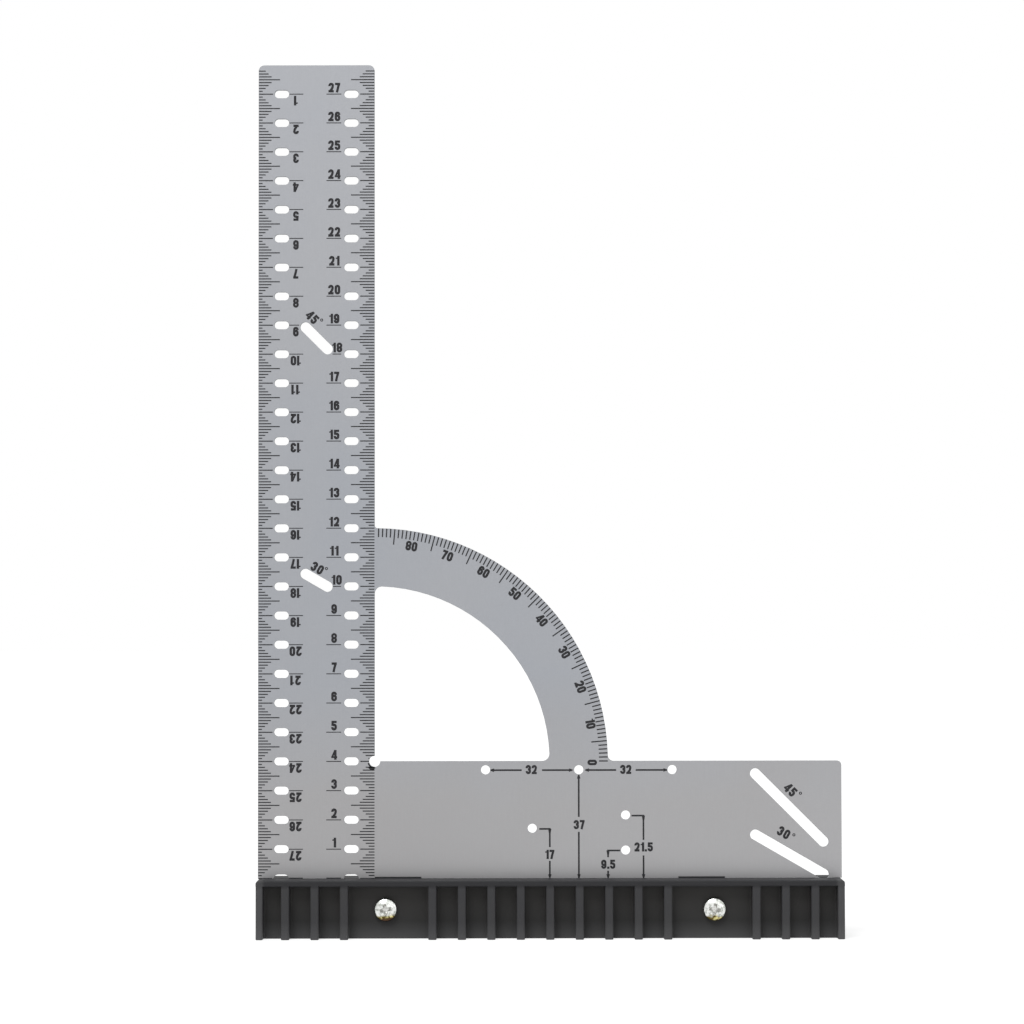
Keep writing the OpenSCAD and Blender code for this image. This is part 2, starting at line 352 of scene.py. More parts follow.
def finished(shape, name, materials, smooth_below=None):
    """Turns a mesh in millimetres into a piece of the square, and gives it its finish. Edges
    below an angle in degrees are smooth, but not those of the broad flat faces."""
    if smooth_below:
        for edge in shape.edges:
            broad = any(2 * f.calc_area() > BROAD_FACE * f.calc_perimeter() for f in edge.link_faces)
            angle = edge.calc_face_angle(pi)
            edge.smooth = angle < radians(smooth_below) and (not broad or angle < radians(NEARLY_FLAT))
    bmesh.ops.scale(shape, vec=(MM, MM, MM), verts=shape.verts)
    mesh = bpy.data.meshes.new(name)
    shape.to_mesh(mesh)
    shape.free()
    for material in materials:
        mesh.materials.append(material)
    if smooth_below:
        mesh.shade_smooth()
    piece = bpy.data.objects.new(name, mesh)
    bpy.context.scene.collection.objects.link(piece)
    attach(piece, "root")
    return piece


def merged_copy(node):
    """One closed shape, in millimetres, from a solid's loose triangles."""
    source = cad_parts[node].data
    shape = bmesh.new()
    corners = [shape.verts.new(vertex.co / MM) for vertex in source.vertices]
    for face in source.polygons:
        shape.faces.new([corners[i] for i in face.vertices])
    bmesh.ops.remove_doubles(shape, verts=shape.verts, dist=SAME_POINT)
    bmesh.ops.dissolve_limit(shape, angle_limit=radians(1), verts=shape.verts, edges=shape.edges)
    return shape


def corner_edges(shape):
    """The edges where a shape turns a corner."""
    return [e for e in shape.edges if e.is_manifold and e.calc_face_angle() > radians(CORNER)]


def soften(shape, edges, width, steps):
    """Rounds these edges by a width, or breaks them with one flat when steps is 1."""
    bmesh.ops.bevel(shape, geom=edges, offset=width, segments=steps, profile=0.5, affect="EDGES",
                    clamp_overlap=False)


# The blade

EDGE_BREAK = 0.06
# A face turned this squarely to the front or back is the sheet's, and any other is its rim's
SQUARE_ON = 0.95


def make_blade():
    """The stamped sheet. Its edges are broken by the tumbling that follows the press."""
    shape = merged_copy("blade")
    soften(shape, corner_edges(shape), EDGE_BREAK, 1)
    shape.normal_update()
    for face in shape.faces:
        face.material_index = int(abs(face.normal.y) < SQUARE_ON)
    blade = finished(shape, "stamped_blade", [SHEET, SHEARED], smooth_below=30)
    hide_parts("blade")


# The fence

MOULD_ROUND = 0.3
MOULD_ROUND_STEPS = 3
# A rib's front edges are upright, at least this long, and this far from the fence's ends
RIB_EDGE_L = 3
RIB_INSET = 1
UPRIGHT = 0.99


def make_fence_half(node, name):
    """One moulded half, rounded as in the mould: at the foot, at the seam between the halves on
    the ends, and down the fronts of the ribs."""
    shape = merged_copy(node)
    low, high = (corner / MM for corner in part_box(node))
    outside = max(abs(low.y), abs(high.y))

    def at_foot(edge):
        return all(v.co.z < low.z + NEAR for v in edge.verts)

    def at_end_seam(edge):
        on_end = all(abs(v.co.x) > high.x - NEAR for v in edge.verts)
        return on_end and all(abs(v.co.y) < NEAR for v in edge.verts)

    def at_rib_front(edge):
        length = edge.calc_length()
        rise = abs(edge.verts[0].co.z - edge.verts[1].co.z)
        in_front = all(abs(v.co.y) > outside - NEAR for v in edge.verts)
        off_ends = all(abs(v.co.x) < high.x - RIB_INSET for v in edge.verts)
        return length > RIB_EDGE_L and rise > UPRIGHT * length and in_front and off_ends

    edges = [e for e in corner_edges(shape) if at_foot(e) or at_end_seam(e) or at_rib_front(e)]
    soften(shape, edges, MOULD_ROUND, MOULD_ROUND_STEPS)
    fence = finished(shape, name, [PLASTIC], smooth_below=35)
    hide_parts(node)


# Screws and nuts

def lathe(rows, around):
    """A tube in millimetres, turned about the Y axis and open at both ends, and its rings of
    points. Each row is its y and a function that gives the radius at an angle."""
    shape = bmesh.new()
    rings = []
    for y, radius in rows:
        ring = []
        for i in range(around):
            angle = 2 * pi * i / around
            ring.append(shape.verts.new((radius(angle) * cos(angle), y, radius(angle) * sin(angle))))
        rings.append(ring)
    for a, b in zip(rings, rings[1:]):
        for i in range(around):
            j = (i + 1) % around
            shape.faces.new((a[i], a[j], b[j], b[i]))
    return shape, rings


def close_ends(shape, rings):
    """Closes the first and last ring with a fan round a middle point."""
    for ring, step in ((rings[0], -1), (rings[-1], 1)):
        middle = shape.verts.new(sum((v.co for v in ring), Vector()) / len(ring))
        for i, vertex in enumerate(ring):
            following = ring[(i + 1) % len(ring)]
            shape.faces.new((vertex, following, middle)[::step])


def loose_object(shape, name):
    """An object that only serves to make another one."""
    mesh = bpy.data.meshes.new(name)
    bmesh.ops.recalc_face_normals(shape, faces=shape.faces)
    shape.to_mesh(mesh)
    shape.free()
    thing = bpy.data.objects.new(name, mesh)
    bpy.context.scene.collection.objects.link(thing)
    return thing


# The screws, in millimetres
HEAD_R = 4
HEAD_SEAT_Y = -5.5
HEAD_SIDE = 1.0
HEAD_TOP_Y = -8.43
DOME_R = 6.5
DOME_EDGE_R = 3.5
DOME_STEPS = 6
SEAT_ROUND = 0.25
SEAT_ROUND_MIDDLE = 0.07
NECK_FILLET = 0.2
SHANK_R = 2
THREAD_TOP_Y = HEAD_SEAT_Y + 0.4
THREAD_FADE = 1.0
THREAD_PITCH = 0.7
THREAD_DEPTH = 0.38
ROWS_PER_TURN = 8
TIP_CHAMFER = 0.5
SCREW_TIP_Y = 6.6
SCREW_AROUND = 32
# The cross recess: half the length and half the width of a wing, at its mouth and its floor
MOUTH_HALF = (2.3, 0.6)
FLOOR_HALF = (1.0, 0.38)
RECESS_DEPTH = 1.9
# Its cutter starts this far over the head, and is wider there by this factor
CUTTER_OVER = 1
CUTTER_SPREAD = 1 + 0.5 * CUTTER_OVER / RECESS_DEPTH
# Faces of the head this near to its axis are the recess's, where they are this steep or deep
RECESS_REACH = 2.6
RECESS_STEEP = 0.9
RECESS_FLOOR = 1


def round_row(y, radius):
    """A row of the lathe with one radius all round."""
    return y, lambda angle: radius


def screw_rows():
    """The outline of a pan head and an M4 thread, from the top of the head to the tip."""
    slope = asin(DOME_EDGE_R / DOME_R)
    side_top = HEAD_SEAT_Y - HEAD_SIDE
    rim_r = (HEAD_R - DOME_EDGE_R) / (1 - sin(slope))
    rows = []
    for k in range(1, DOME_STEPS + 1):
        tilt = slope * k / DOME_STEPS
        rows.append(round_row(HEAD_TOP_Y + DOME_R * (1 - cos(tilt)), DOME_R * sin(tilt)))
    for k in range(1, DOME_STEPS + 1):
        tilt = slope + (pi / 2 - slope) * k / (DOME_STEPS + 1)
        rows.append(round_row(side_top - rim_r * cos(tilt), HEAD_R - rim_r * (1 - sin(tilt))))
    rows += [
        round_row(side_top, HEAD_R),
        round_row(HEAD_SEAT_Y - SEAT_ROUND, HEAD_R),
        round_row(HEAD_SEAT_Y - SEAT_ROUND_MIDDLE, HEAD_R - SEAT_ROUND_MIDDLE),
        round_row(HEAD_SEAT_Y, HEAD_R - SEAT_ROUND),
        round_row(HEAD_SEAT_Y, SHANK_R + NECK_FILLET),
        round_row(HEAD_SEAT_Y + NECK_FILLET, SHANK_R),
    ]
    thread_l = SCREW_TIP_Y - THREAD_TOP_Y
    count = ROWS_PER_TURN * int(thread_l / THREAD_PITCH)
    for k in range(count + 1):
        y = THREAD_TOP_Y + thread_l * k / count
        rows.append((y, lambda angle, at=y: thread_radius(angle, at)))
    return rows


def thread_radius(angle, y):
    """The radius of a right-hand thread of triangular section, fading out under the head and
    chamfered at the tip."""
    turn = (y / THREAD_PITCH - angle / (2 * pi)) % 1
    groove = THREAD_DEPTH * (1 - abs(2 * turn - 1))
    groove *= min(1, max(0, (y - THREAD_TOP_Y) / THREAD_FADE))
    return min(SHANK_R - groove, SHANK_R - TIP_CHAMFER + (SCREW_TIP_Y - y))


def wing(turn):
    """A tapered bar that cuts one pair of the cross recess's wings."""
    shape = bmesh.new()
    mouth = [half * CUTTER_SPREAD for half in MOUTH_HALF]
    loops = []
    for y, (half_l, half_w) in ((HEAD_TOP_Y - CUTTER_OVER, mouth), (HEAD_TOP_Y + RECESS_DEPTH, FLOOR_HALF)):
        loop = []
        for sx, sz in ((1, 1), (-1, 1), (-1, -1), (1, -1)):
            x, z = sx * half_l, sz * half_w
            loop.append(shape.verts.new((x * cos(turn) - z * sin(turn), y, x * sin(turn) + z * cos(turn))))
        loops.append(loop)
    shape.faces.new(loops[0])
    shape.faces.new(loops[1][::-1])
    for i in range(4):
        j = (i + 1) % 4
        shape.faces.new((loops[0][i], loops[0][j], loops[1][j], loops[1][i]))
    return loose_object(shape, "wing")


def make_screw(node, name, turn):
    """A pan head screw with its cross recess turned as the fitter left it."""
    low, high = (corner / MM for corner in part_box(node))
    centre = (low + high) / 2
    shape, rings = lathe(screw_rows(), SCREW_AROUND)
    close_ends(shape, rings)
    blank = loose_object(shape, "blank")
    cutters = [wing(turn), wing(turn + pi / 2)]
    for cutter in cutters:
        cut = blank.modifiers.new("recess", "BOOLEAN")
        cut.object = cutter
        cut.operation = "DIFFERENCE"
        cut.solver = "EXACT"
    cut_mesh = bpy.data.meshes.new_from_object(blank.evaluated_get(bpy.context.evaluated_depsgraph_get()))
    shape = bmesh.new()
    shape.from_mesh(cut_mesh)
    for thing in [blank, *cutters]:
        bpy.data.objects.remove(thing)
    shape.normal_update()
    # Faces deep in the cross recess take the painted shade of the recess
    for face in shape.faces:
        middle = face.calc_center_median()
        near_axis = hypot(middle.x, middle.z) < RECESS_REACH
        steep_or_deep = face.normal.y > -RECESS_STEEP or middle.y > HEAD_TOP_Y + RECESS_FLOOR
        face.material_index = int(near_axis and steep_or_deep and middle.y < HEAD_SEAT_Y)
    bmesh.ops.translate(shape, vec=(centre.x, 0, centre.z), verts=shape.verts)
    screw = finished(shape, name, [ZINC, RECESS_SHADE], smooth_below=32)
    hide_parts(node)


# The nuts, in millimetres
NUT_FLATS = 7.0
NUT_BORE_R = 2.02
NUT_AROUND = 72
# The chamfer's radius on the nut's face, and how fast it widens with depth
NUT_CHAMFER_R = 3.35
NUT_CHAMFER_RISE = 1.7
NUT_CHAMFER_DEPTHS = (0, 0.06, 0.14, 0.24, 0.34, 0.46)
# The countersink's radius on the nut's face, and its depth
NUT_SINK_R = 2.3
NUT_SINK_H = 0.3


def make_nut(node, name):
    """A hexagon nut with chamfered corners and a countersunk bore."""
    low, high = (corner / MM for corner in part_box(node))
    centre = (low + high) / 2

    def hexagon(angle):
        return NUT_FLATS / 2 / cos((angle + pi / 6) % (pi / 3) - pi / 6)

    def depth(y):
        return min(y - low.y, high.y - y)

    def outside(y):
        return y, lambda angle: min(hexagon(angle), NUT_CHAMFER_R + depth(y) * NUT_CHAMFER_RISE)

    ys = [low.y + d for d in NUT_CHAMFER_DEPTHS] + [high.y - d for d in reversed(NUT_CHAMFER_DEPTHS)]
    rows = [outside(y) for y in ys]
    for y in (high.y, high.y - NUT_SINK_H, low.y + NUT_SINK_H, low.y):
        rows.append(round_row(y, max(NUT_BORE_R, NUT_SINK_R - depth(y))))
    shape, rings = lathe(rows, NUT_AROUND)
    first, last = rings[0], rings[-1]
    for i in range(len(first)):
        j = (i + 1) % len(first)
        shape.faces.new((last[i], last[j], first[j], first[i]))
    bmesh.ops.recalc_face_normals(shape, faces=shape.faces)
    bmesh.ops.translate(shape, vec=(centre.x, 0, centre.z), verts=shape.verts)
    nut = finished(shape, name, [ZINC], smooth_below=25)
    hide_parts(node)


# Flat shapes for the print, as (x, z) points in millimetres

# Points of the print that are closer than this are the same point
SAME_PRINT_POINT = 1e-5
ALL_TRIANGLES = 0


def arc(x, z, radius, start, end, steps=7):
    """Points along an arc, from one angle to another in degrees."""
    angles = [radians(start + (end - start) * i / steps) for i in range(steps + 1)]
    return [(x + radius * cos(a), z + radius * sin(a)) for a in angles]


def ribbon(points, width, closed=False):
    """The four-sided faces of a band of this width along some points, mitred at its bends."""
    path = [Vector(p) for p in points]
    count = len(path)
    sides = []
    for i, point in enumerate(path):
        before = path[i] - path[i - 1] if closed or i else None
        after = path[(i + 1) % count] - point if closed or i < count - 1 else None
        ways = [way.normalized() for way in (before, after) if way is not None]
        normals = [Vector((-way.y, way.x)) for way in ways]
        normal = sum(normals, Vector((0, 0))) / len(normals)
        reach = normal / normal.length_squared * width / 2
        sides.append((point + reach, point - reach))
    pairs = list(zip(sides, sides[1:] + (sides[:1] if closed else [])))
    return [[a[1], b[1], b[0], a[0]] for a, b in pairs]


def union(outlines):
    """One flat shape that covers overlapping outlines once: its points and its triangles."""
    points = []
    loops = []
    for outline in outlines:
        corners = [Vector(p) for p in outline]
        area = sum(a.x * b.y - b.x * a.y for a, b in zip(corners, corners[1:] + corners[:1]))
        if area < 0:
            corners.reverse()
        loops.append(list(range(len(points), len(points) + len(corners))))
        points += corners
    found = delaunay_2d_cdt(points, [], loops, ALL_TRIANGLES, SAME_PRINT_POINT)
    flat, _, faces, _, _, owners = found
    return flat, [face for face, owner in zip(faces, owners) if owner]


def lay_ink(shape, flat, faces):
    """Adds a flat shape to the print as a closed layer of ink on the blade's front."""
    front = [shape.verts.new((p.x, PRINT_Y - INK_PROUD, p.y)) for p in flat]
    back = [shape.verts.new((p.x, PRINT_Y + INK_SUNK, p.y)) for p in flat]
    ways = {(a, b) for face in faces for a, b in zip(face, face[1:] + face[:1])}
    for face in faces:
        shape.faces.new([front[i] for i in face])
        shape.faces.new([back[i] for i in reversed(face)])
    for a, b in ways:
        if (b, a) not in ways:
            shape.faces.new((front[b], front[a], back[a], back[b]))


def printed(name, flats):
    """A piece of print from several flat shapes."""
    shape = bmesh.new()
    for flat, faces in flats:
        lay_ink(shape, flat, faces)
    loose = [v for v in shape.verts if not v.link_faces]
    bmesh.ops.delete(shape, geom=loose, context="VERTS")
    return finished(shape, name, [INK])


# Numerals: bold and narrow, one unit high

STROKE = 0.245
HALF = STROKE / 2
WIDE = 0.58
LEFT, RIGHT, MIDDLE = HALF, WIDE - HALF, WIDE / 2
BOTTOM, TOP = HALF, 1 - HALF
BOWL = MIDDLE - HALF
LOW_BOWL, HIGH_BOWL = BOTTOM + BOWL, TOP - BOWL


def half_turn(points):
    """The same points turned upside down, as a 9 is a turned 6."""
    return [(WIDE - x, 1 - z) for x, z in points]


SIX_BACK = [(RIGHT, 0.66)] + arc(MIDDLE, HIGH_BOWL, BOWL, 0, 180) + [(LEFT, LOW_BOWL)]
SIX_BOWL = arc(MIDDLE, 0.405, BOWL, 0, 180) + arc(MIDDLE, LOW_BOWL, BOWL, 180, 360)

# Each numeral is a list of strokes: its points, its width, and whether it closes on itself
STROKES = {
    "0": [(arc(MIDDLE, HIGH_BOWL, BOWL, 0, 180) + arc(MIDDLE, LOW_BOWL, BOWL, 180, 360), STROKE, True)],
    "1": [([(0.295, 0), (0.295, 1)], STROKE, False),
          ([(0.02, 0.745), (0.16, 0.765), (0.25, 0.85)], 0.13, False)],
    "2": [([(LEFT, 0.65)] + arc(MIDDLE, HIGH_BOWL, BOWL, 180, 0)
           + [(RIGHT - 0.01, 0.60), (0.40, 0.44), (0.13, 0.06)], STROKE, False),
          ([(0.01, BOTTOM), (WIDE - 0.02, BOTTOM)], STROKE, False)],
    "3": [([(LEFT, 0.65)] + arc(MIDDLE, HIGH_BOWL, BOWL, 180, 0)
           + arc(RIGHT - 0.12, 0.655, 0.12, 0, -90) + [(0.25, 0.535)], STROKE, False),
          ([(0.25, 0.51)] + arc(RIGHT - 0.12, 0.39, 0.12, 90, 0)
           + arc(MIDDLE, LOW_BOWL, BOWL, 0, -180) + [(LEFT, 0.34)], STROKE, False)],
    "4": [([(0.425, 0), (0.425, 1)], STROKE, False), ([(0, 0.265), (0.61, 0.265)], 0.185, False),
          ([(0.075, 0.22), (0.40, 0.98)], 0.18, False)],
    "5": [([(WIDE - 0.03, TOP), (LEFT + 0.02, TOP), (LEFT + 0.005, 0.47)], STROKE - 0.01, False),
          (arc(MIDDLE, 0.415, BOWL, 150, 0)
           + arc(MIDDLE, LOW_BOWL, BOWL, 0, -180) + [(LEFT, 0.35)], STROKE, False)],
    "6": [(SIX_BACK, STROKE, False), (SIX_BOWL, STROKE, True)],
    "7": [([(0.02, TOP), (0.55, TOP)], STROKE, False),
          ([(0.45, 0.94), (0.33, 0.5), (0.215, 0)], STROKE, False)],
    "8": [(arc(MIDDLE, 0.72, 0.18, 0, 180) + arc(MIDDLE, 0.685, 0.18, 180, 360), STROKE - 0.015, True),
          (arc(MIDDLE, 0.345, BOWL, 0, 180) + arc(MIDDLE, LOW_BOWL, BOWL, 180, 360), STROKE, True)],
    "9": [(half_turn(SIX_BACK), STROKE, False), (half_turn(SIX_BOWL), STROKE, True)],
    ".": [([(HALF, 0), (HALF, STROKE)], STROKE, False)],
    "°": [(arc(0.17, 0.82, 0.115, 0, 330, 11), 0.085, True)],
}
# Widths of the signs that are narrower than the rest, and the usual gap between two
WIDTHS = {"1": 0.40, "7": 0.55, ".": STROKE, "°": 0.34}
GAP = 0.07


@lru_cache
def numeral(sign):
    """The flat shape of one numeral."""
    outlines = []
    for points, width, closed in STROKES[sign]:
        outlines += ribbon(points, width, closed)
    return union(outlines)


def number(text, x, z, height, turn=0.0, gap=GAP):
    """The numerals of a number about a centre, turned anticlockwise by an angle in degrees."""
    total = sum(WIDTHS.get(sign, WIDE) for sign in text) + gap * (len(text) - 1)
    c, s = cos(radians(turn)), sin(radians(turn))
    along = -total / 2
    flats = []
    for sign in text:
        flat, faces = numeral(sign)
        placed = []
        for p in flat:
            u, v = (p.x + along) * height, (p.y - 0.5) * height
            placed.append(Vector((x + u * c - v * s, z + u * s + v * c)))
        flats.append((placed, faces))
        along += WIDTHS.get(sign, WIDE) + gap
    return flats


# Rows of ticks, by one tree of geometry nodes

TICK_STROKE = 0.37
RING_STROKE = 0.42
# Height of the last millimetre tick
SCALE_TOP = 298
# A millimetre scale's ticks: a whole centimetre's length, and what each next one gains from the
# whole to the half centimetre, where the lengths fall again
WHOLE_TICK = 4.9
TICK_GROWTH = 1.02
# The first tick after a whole centimetre, and the half centimetre's, on each edge of the arm
LEFT_FIRST, LEFT_HALF = 1.3, 7.3
RIGHT_FIRST, RIGHT_HALF = 2.0, 8.1
# The protractor's ticks: each degree's, and every fifth one's
DEGREE_TICK = 3.0
FIFTH_DEGREE_TICK = 5.35
DEGREES = 90
# Every tenth tick is a whole one, with a half one between
WHOLE_EVERY = 10
TICK_INPUTS = ("Count", "Start", "Step", "Radius", "First angle", "Turn", "Stroke", "Thickness", "Whole",
               "First", "Growth", "Half", "Gap at", "Gap radius", "Material")
# A tick's block is moved so that its outer end lies on its point
TICK_ANCHOR = (-0.5, 0, 0)


def tick_tree():
    """Ticks at even steps along a line or an arc. Whole, half and other ticks have lengths of
    their own, and none starts within the gap's radius of its place."""
    tree = bpy.data.node_groups.new("row_of_ticks", "GeometryNodeTree")
    tree.interface.new_socket("Geometry", in_out="OUTPUT", socket_type="NodeSocketGeometry")
    kinds = {"Count": "Int", "Start": "Vector", "Step": "Vector", "Gap at": "Vector", "Material": "Material"}
    for name in TICK_INPUTS:
        tree.interface.new_socket(name, in_out="INPUT", socket_type="NodeSocket" + kinds.get(name, "Float"))
    given = add_node(tree, "NodeGroupInput").outputs

    # Steps from the nearest whole tick, and the angle along an arc
    half = WHOLE_EVERY / 2
    index = add_node(tree, "GeometryNodeInputIndex")
    past_whole = add_node(tree, "ShaderNodeMath", {0: index, 1: WHOLE_EVERY}, operation="MODULO")
    past_half = add_node(tree, "ShaderNodeMath", {0: past_whole, 1: half}, operation="SUBTRACT")
    from_half = add_node(tree, "ShaderNodeMath", {0: past_half}, operation="ABSOLUTE")
    level = add_node(tree, "ShaderNodeMath", {0: half, 1: from_half}, operation="SUBTRACT")
    turned = add_node(tree, "ShaderNodeMath", {0: index, 1: given["Turn"]}, operation="MULTIPLY")
    angle = add_node(tree, "ShaderNodeMath", {0: given["First angle"], 1: turned}, operation="ADD")

    # Each tick's length
    gains = add_node(tree, "ShaderNodeMath", {0: level, 1: 1.0}, operation="SUBTRACT")
    gained = add_node(tree, "ShaderNodeMath", {0: gains, 1: given["Growth"]}, operation="MULTIPLY")
    plain = add_node(tree, "ShaderNodeMath", {0: given["First"], 1: gained}, operation="ADD")
    is_half = add_node(tree, "FunctionNodeCompare", {0: level, 1: half, "Epsilon": 0.1}, operation="EQUAL")
    is_whole = add_node(tree, "FunctionNodeCompare", {0: level, 1: 0.0, "Epsilon": 0.1}, operation="EQUAL")
    sizes = {"Switch": is_half, "False": plain, "True": given["Half"]}
    part = add_node(tree, "GeometryNodeSwitch", sizes, input_type="FLOAT")
    sizes = {"Switch": is_whole, "False": part, "True": given["Whole"]}
    length = add_node(tree, "GeometryNodeSwitch", sizes, input_type="FLOAT")

    # The points where the outer ends lie
    line = add_node(tree, "GeometryNodeMeshLine", {
        "Count": given["Count"],
        "Start Location": given["Start"],
        "Offset": given["Step"],
    })
    cosine = add_node(tree, "ShaderNodeMath", {0: angle}, operation="COSINE")
    sine = add_node(tree, "ShaderNodeMath", {0: angle}, operation="SINE")
    aside = add_node(tree, "ShaderNodeMath", {0: given["Radius"], 1: cosine}, operation="MULTIPLY")
    above = add_node(tree, "ShaderNodeMath", {0: given["Radius"], 1: sine}, operation="MULTIPLY")
    out = add_node(tree, "ShaderNodeCombineXYZ", {"X": aside, "Z": above})
    points = add_node(tree, "GeometryNodeSetPosition", {"Geometry": line, "Offset": out})
    place = add_node(tree, "GeometryNodeInputPosition")
    apart = add_node(tree, "ShaderNodeVectorMath", {0: place, 1: given["Gap at"]}, operation="DISTANCE")
    kept = add_node(tree, "FunctionNodeCompare", {0: apart.outputs["Value"], 1: given["Gap radius"]},
                    operation="GREATER_THAN")

    # A block of ink at each point, turned to face the middle
    block = add_node(tree, "GeometryNodeMeshCube")
    anchored = add_node(tree, "GeometryNodeTransform", {"Geometry": block, "Translation": TICK_ANCHOR})
    turn = add_node(tree, "ShaderNodeMath", {0: angle, 1: -1.0}, operation="MULTIPLY")
    size = {"X": length, "Y": given["Thickness"], "Z": given["Stroke"]}
    blocks = add_node(tree, "GeometryNodeInstanceOnPoints", {
        "Points": points,
        "Selection": kept,
        "Instance": anchored,
        "Rotation": add_node(tree, "ShaderNodeCombineXYZ", {"Y": turn}),
        "Scale": add_node(tree, "ShaderNodeCombineXYZ", size),
    })
    real = add_node(tree, "GeometryNodeRealizeInstances", {"Geometry": blocks})
    inked = add_node(tree, "GeometryNodeSetMaterial", {"Geometry": real, "Material": given["Material"]})
    add_node(tree, "NodeGroupOutput", {"Geometry": inked})
    return tree


def ticks(tree, name, **sizes):
    """A row of ticks as a plain piece, from the tree's named inputs."""
    holder = bpy.data.objects.new(name, bpy.data.meshes.new(name))
    bpy.context.scene.collection.objects.link(holder)
    modifier = holder.modifiers.new("ticks", "NODES")
    modifier.node_group = tree
    sockets = {item.name: item.identifier for item in tree.interface.items_tree if item.in_out == "INPUT"}
    for size, value in sizes.items():
        modifier[sockets[size.replace("_", " ").capitalize()]] = value
    bpy.context.view_layer.update()
    mesh = bpy.data.meshes.new_from_object(holder.evaluated_get(bpy.context.evaluated_depsgraph_get()))
    holder.modifiers.remove(modifier)
    holder.data = mesh
    mesh.name = name
    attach(holder, "root")
    return holder


INK_THICK = INK_SUNK + INK_PROUD
INK_MID_Y = PRINT_Y + (INK_SUNK - INK_PROUD) / 2


def make_tick_rows():
    """The millimetre scales along both edges of the arm, and the protractor's degrees."""
    tree = tick_tree()
    pivot = (PIVOT.x * MM, INK_MID_Y * MM, PIVOT.y * MM)
    shared = {"thickness": INK_THICK * MM, "material": INK, "gap_at": pivot}
    millimetres = {
        "count": int(SCALE_TOP - FACE_Z) + 1,
        "start": ((ARM_LEFT + ARM_W / 2) * MM, INK_MID_Y * MM, FACE_Z * MM),
        "step": (0, 0, MM),
        "radius": (ARM_W / 2 - INK_MARGIN) * MM,
        "turn": 0.0,
        "stroke": TICK_STROKE * MM,
        "whole": WHOLE_TICK * MM,
        "growth": TICK_GROWTH * MM,
        "gap_radius": RELIEF_R * MM,
    }
    ticks(tree, "millimetre_scale_left", first_angle=pi, first=LEFT_FIRST * MM, half=LEFT_HALF * MM,
          **millimetres, **shared)
    ticks(tree, "millimetre_scale_right", first_angle=0.0, first=RIGHT_FIRST * MM, half=RIGHT_HALF * MM,
          **millimetres, **shared)
    degrees = {
        "count": DEGREES,
        "start": pivot,
        "step": (0, 0, 0),
        "radius": (RING_R - INK_MARGIN) * MM,
        "first_angle": 0.0,
        "turn": radians(1),
        "stroke": RING_STROKE * MM,
        "whole": DEGREE_TICK * MM,
        "first": DEGREE_TICK * MM,
        "growth": 0.0,
        "half": FIFTH_DEGREE_TICK * MM,
        "gap_radius": 0.0,
    }
    ticks(tree, "protractor_degrees", **degrees, **shared)


# The numbers of the scales

SCALE_NUMERAL = 3.35
SCALE_GAP = 0.09
CM = 10
# The arm's whole length above the working face, in centimetres
ARM_CM = 28
LINE_STROKE = 0.3
LEFT_LINE = (ARM_LEFT + 10.6, ARM_LEFT + 15.4)
RIGHT_LINE = (ARM_RIGHT - 16.6, ARM_RIGHT - 11.5)
# The lines at the working face are lifted clear of the fence
FIRST_LINE_LIFT = 0.15
LEFT_MIDDLE = ARM_LEFT + 12.87
RIGHT_MIDDLE = ARM_RIGHT - 13.93
ABOVE_LINE = 2.25
# Where a line or a number keeps clear of the two slots in the arm
LINE_CUTS = {10: (0, 2.25), 18: (0, 2.1), 19: (1.4, 0)}
NUMBER_SHIFTS = {10: 0.85, 18: 1.0}


def make_arm_numbers():
    """The centimetre lines inside each row of holes, numbered upwards on the right, and
    upside down on the left."""
    flats = []
    top = FACE_Z + ARM_CM * CM
    for n in range(ARM_CM):
        z = FACE_Z + n * CM + (0 if n else FIRST_LINE_LIFT)
        left_cut, right_cut = LINE_CUTS.get(n, (0, 0))
        for a, b in ((LEFT_LINE[0], LEFT_LINE[1] - left_cut), (RIGHT_LINE[0] + right_cut, RIGHT_LINE[1])):
            flats.append(union(ribbon([(a, z), (b, z)], LINE_STROKE)))
    for n in range(1, ARM_CM):
        right = RIGHT_MIDDLE + NUMBER_SHIFTS.get(n, 0)
        flats += number(str(n), right, FACE_Z + n * CM + ABOVE_LINE, SCALE_NUMERAL, 0, SCALE_GAP)
        flats += number(str(n), LEFT_MIDDLE, top - n * CM - ABOVE_LINE, SCALE_NUMERAL, 180, SCALE_GAP)
    printed("arm_numbers", flats)


RING_NUMERAL = 3.3
RING_NUMERAL_R = 75.2
RING_GAP = 0.05
# The stencil set these numerals a little off their places
RING_SHIFTS = {0: (-0.6, -0.5), 40: (-0.25, -0.05), 50: (-0.2, -0.2), 60: (-0.2, -0.25),
               70: (-0.75, -0.2), 80: (-0.4, -0.3)}
USUAL_SHIFT = (0, -0.3)


def make_ring_numbers():
    """Every tenth degree from 0 to 80, with its foot towards the pivot."""
    flats = []
    for degree in range(0, DEGREES, WHOLE_EVERY):
        a = radians(degree)
        shift_x, shift_z = RING_SHIFTS.get(degree, USUAL_SHIFT)
        x = PIVOT.x + RING_NUMERAL_R * cos(a) + shift_x
        z = PIVOT.y + RING_NUMERAL_R * sin(a) + shift_z
        flats += number(str(degree), x, z, RING_NUMERAL, degree - 90, RING_GAP)
    printed("protractor_numbers", flats)


# Dimension lines beside the marking holes

DIM_STROKE = 0.58
ARROW_L = 1.3
ARROW_W = 1.2
ARROW_TIP_W = 0.45
BEND_L = 1.6
BEND_W = 1.1
DIM_NUMERAL = 3.15


def wedge(base, tip, wide, narrow):
    """The corners of a flat wedge that narrows from its base to its tip."""
    base, tip = Vector(base), Vector(tip)
    way = (tip - base).normalized()
    aside = Vector((-way.y, way.x)) / 2
    return [tip + aside * narrow, base + aside * wide, base - aside * wide, tip - aside * narrow]


